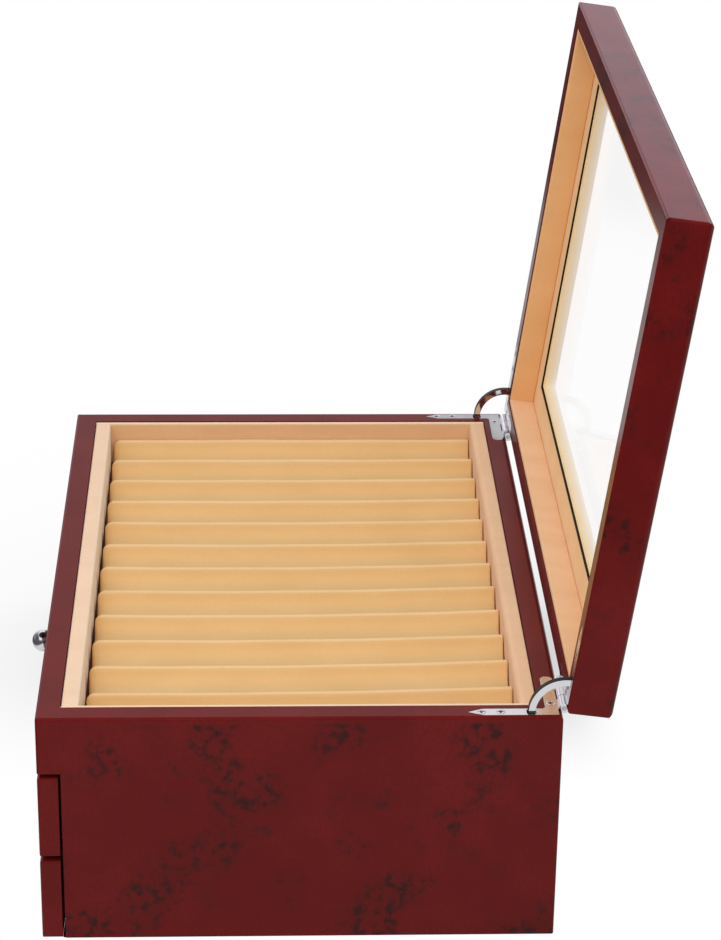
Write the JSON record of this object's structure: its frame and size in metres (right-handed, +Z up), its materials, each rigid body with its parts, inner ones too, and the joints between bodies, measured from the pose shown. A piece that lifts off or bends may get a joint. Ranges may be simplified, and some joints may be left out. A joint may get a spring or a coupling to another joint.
{
  "type": "fountain pen case",
  "caption": "Lacquered burl-wood fountain pen case with a glazed hinged lid, a slotted top tray and slotted drawers, for storing and showing pens.",
  "frame": {"origin": "centre of the case's length and depth, on the underside of the base felt, where it rests", "axes": "+X along the length to the right seen from the front, -Y to the front where the drawers open, +Z up"},
  "size_m": [0.324, 0.2833, 0.3268],
  "materials": {
    "burl_lacquer": "gloss lacquer over reddish burl veneer",
    "stained_wood": "dark stain, satin",
    "tan_suede": "napped suede cloth",
    "chrome": "polished plate",
    "steel": "drawn wire",
    "glass": "clear float glass",
    "black_rubber": "matt",
    "felt": "dense felt"
  },
  "bodies": {
    "base": {"right_side_panel": "burl_lacquer", "left_side_panel": "burl_lacquer", "back_panel": "burl_lacquer", "front_rail": "burl_lacquer", "bottom_panel": "stained_wood", "drawer_shelf": "stained_wood", "tray_floor": "stained_wood", "base_felt": "felt", "tray_right_lining": "tan_suede", "tray_left_lining": "tan_suede", "tray_front_ledge": "tan_suede", "tray_back_ledge": "tan_suede", "tray_slot_insert": "tan_suede", "right_base_leaf": "chrome", "left_base_leaf": "chrome", "right_hinge_pin": "steel", "left_hinge_pin": "steel"},
    "lid": {"lid_right_rail": "burl_lacquer", "lid_left_rail": "burl_lacquer", "lid_back_rail": "burl_lacquer", "lid_front_rail": "burl_lacquer", "lid_right_lining": "tan_suede", "lid_left_lining": "tan_suede", "lid_back_lining": "tan_suede", "lid_front_lining": "tan_suede", "lid_window_trim": "tan_suede", "glazing_gasket": "black_rubber", "lid_glass": "glass", "window_reveal_lining": "tan_suede", "left_lid_leaf": "chrome", "right_lid_leaf": "chrome"},
    "right_stay": {"right_stay_arm": "chrome"},
    "left_stay": {"left_stay_arm": "chrome"},
    "upper_drawer": {"upper_drawer_front": "burl_lacquer", "upper_drawer_right_side": "stained_wood", "upper_drawer_left_side": "stained_wood", "upper_drawer_back": "stained_wood", "upper_drawer_bottom": "stained_wood", "upper_drawer_right_lining": "tan_suede", "upper_drawer_left_lining": "tan_suede", "upper_drawer_front_ledge": "tan_suede", "upper_drawer_back_ledge": "tan_suede", "upper_drawer_slot_insert": "tan_suede", "upper_drawer_knob": "chrome"},
    "lower_drawer": {"lower_drawer_front": "burl_lacquer", "lower_drawer_right_side": "stained_wood", "lower_drawer_left_side": "stained_wood", "lower_drawer_back": "stained_wood", "lower_drawer_bottom": "stained_wood", "lower_drawer_right_lining": "tan_suede", "lower_drawer_left_lining": "tan_suede", "lower_drawer_front_ledge": "tan_suede", "lower_drawer_back_ledge": "tan_suede", "lower_drawer_slot_insert": "tan_suede", "lower_drawer_knob": "chrome"}
  },
  "joints": [
    {"name": "lid_hinge", "type": "hinge", "parent": "base", "child": "lid", "pos_m": [0, 0.1108, 0.10815], "axis": [1, 0, 0], "range_deg": [0, 97.7]},
    {"name": "right_stay_swing", "type": "hinge", "parent": "base", "child": "right_stay", "pos_m": [0, 0.1108, 0.10815], "axis": [1, 0, 0], "range_deg": [0, 48.85]},
    {"name": "left_stay_swing", "type": "hinge", "parent": "base", "child": "left_stay", "pos_m": [0, 0.1108, 0.10815], "axis": [1, 0, 0], "range_deg": [0, 48.85]},
    {"name": "upper_drawer_slide", "type": "slide", "parent": "base", "child": "upper_drawer", "axis": [0, -1, 0], "range_m": [0, 0.15]},
    {"name": "lower_drawer_slide", "type": "slide", "parent": "base", "child": "lower_drawer", "axis": [0, -1, 0], "range_m": [0, 0.15]}
  ],
  "couplings": [
    {"joint": "right_stay_swing", "follows": "lid_hinge", "ratio": 0.5},
    {"joint": "left_stay_swing", "follows": "lid_hinge", "ratio": 0.5}
  ]
}
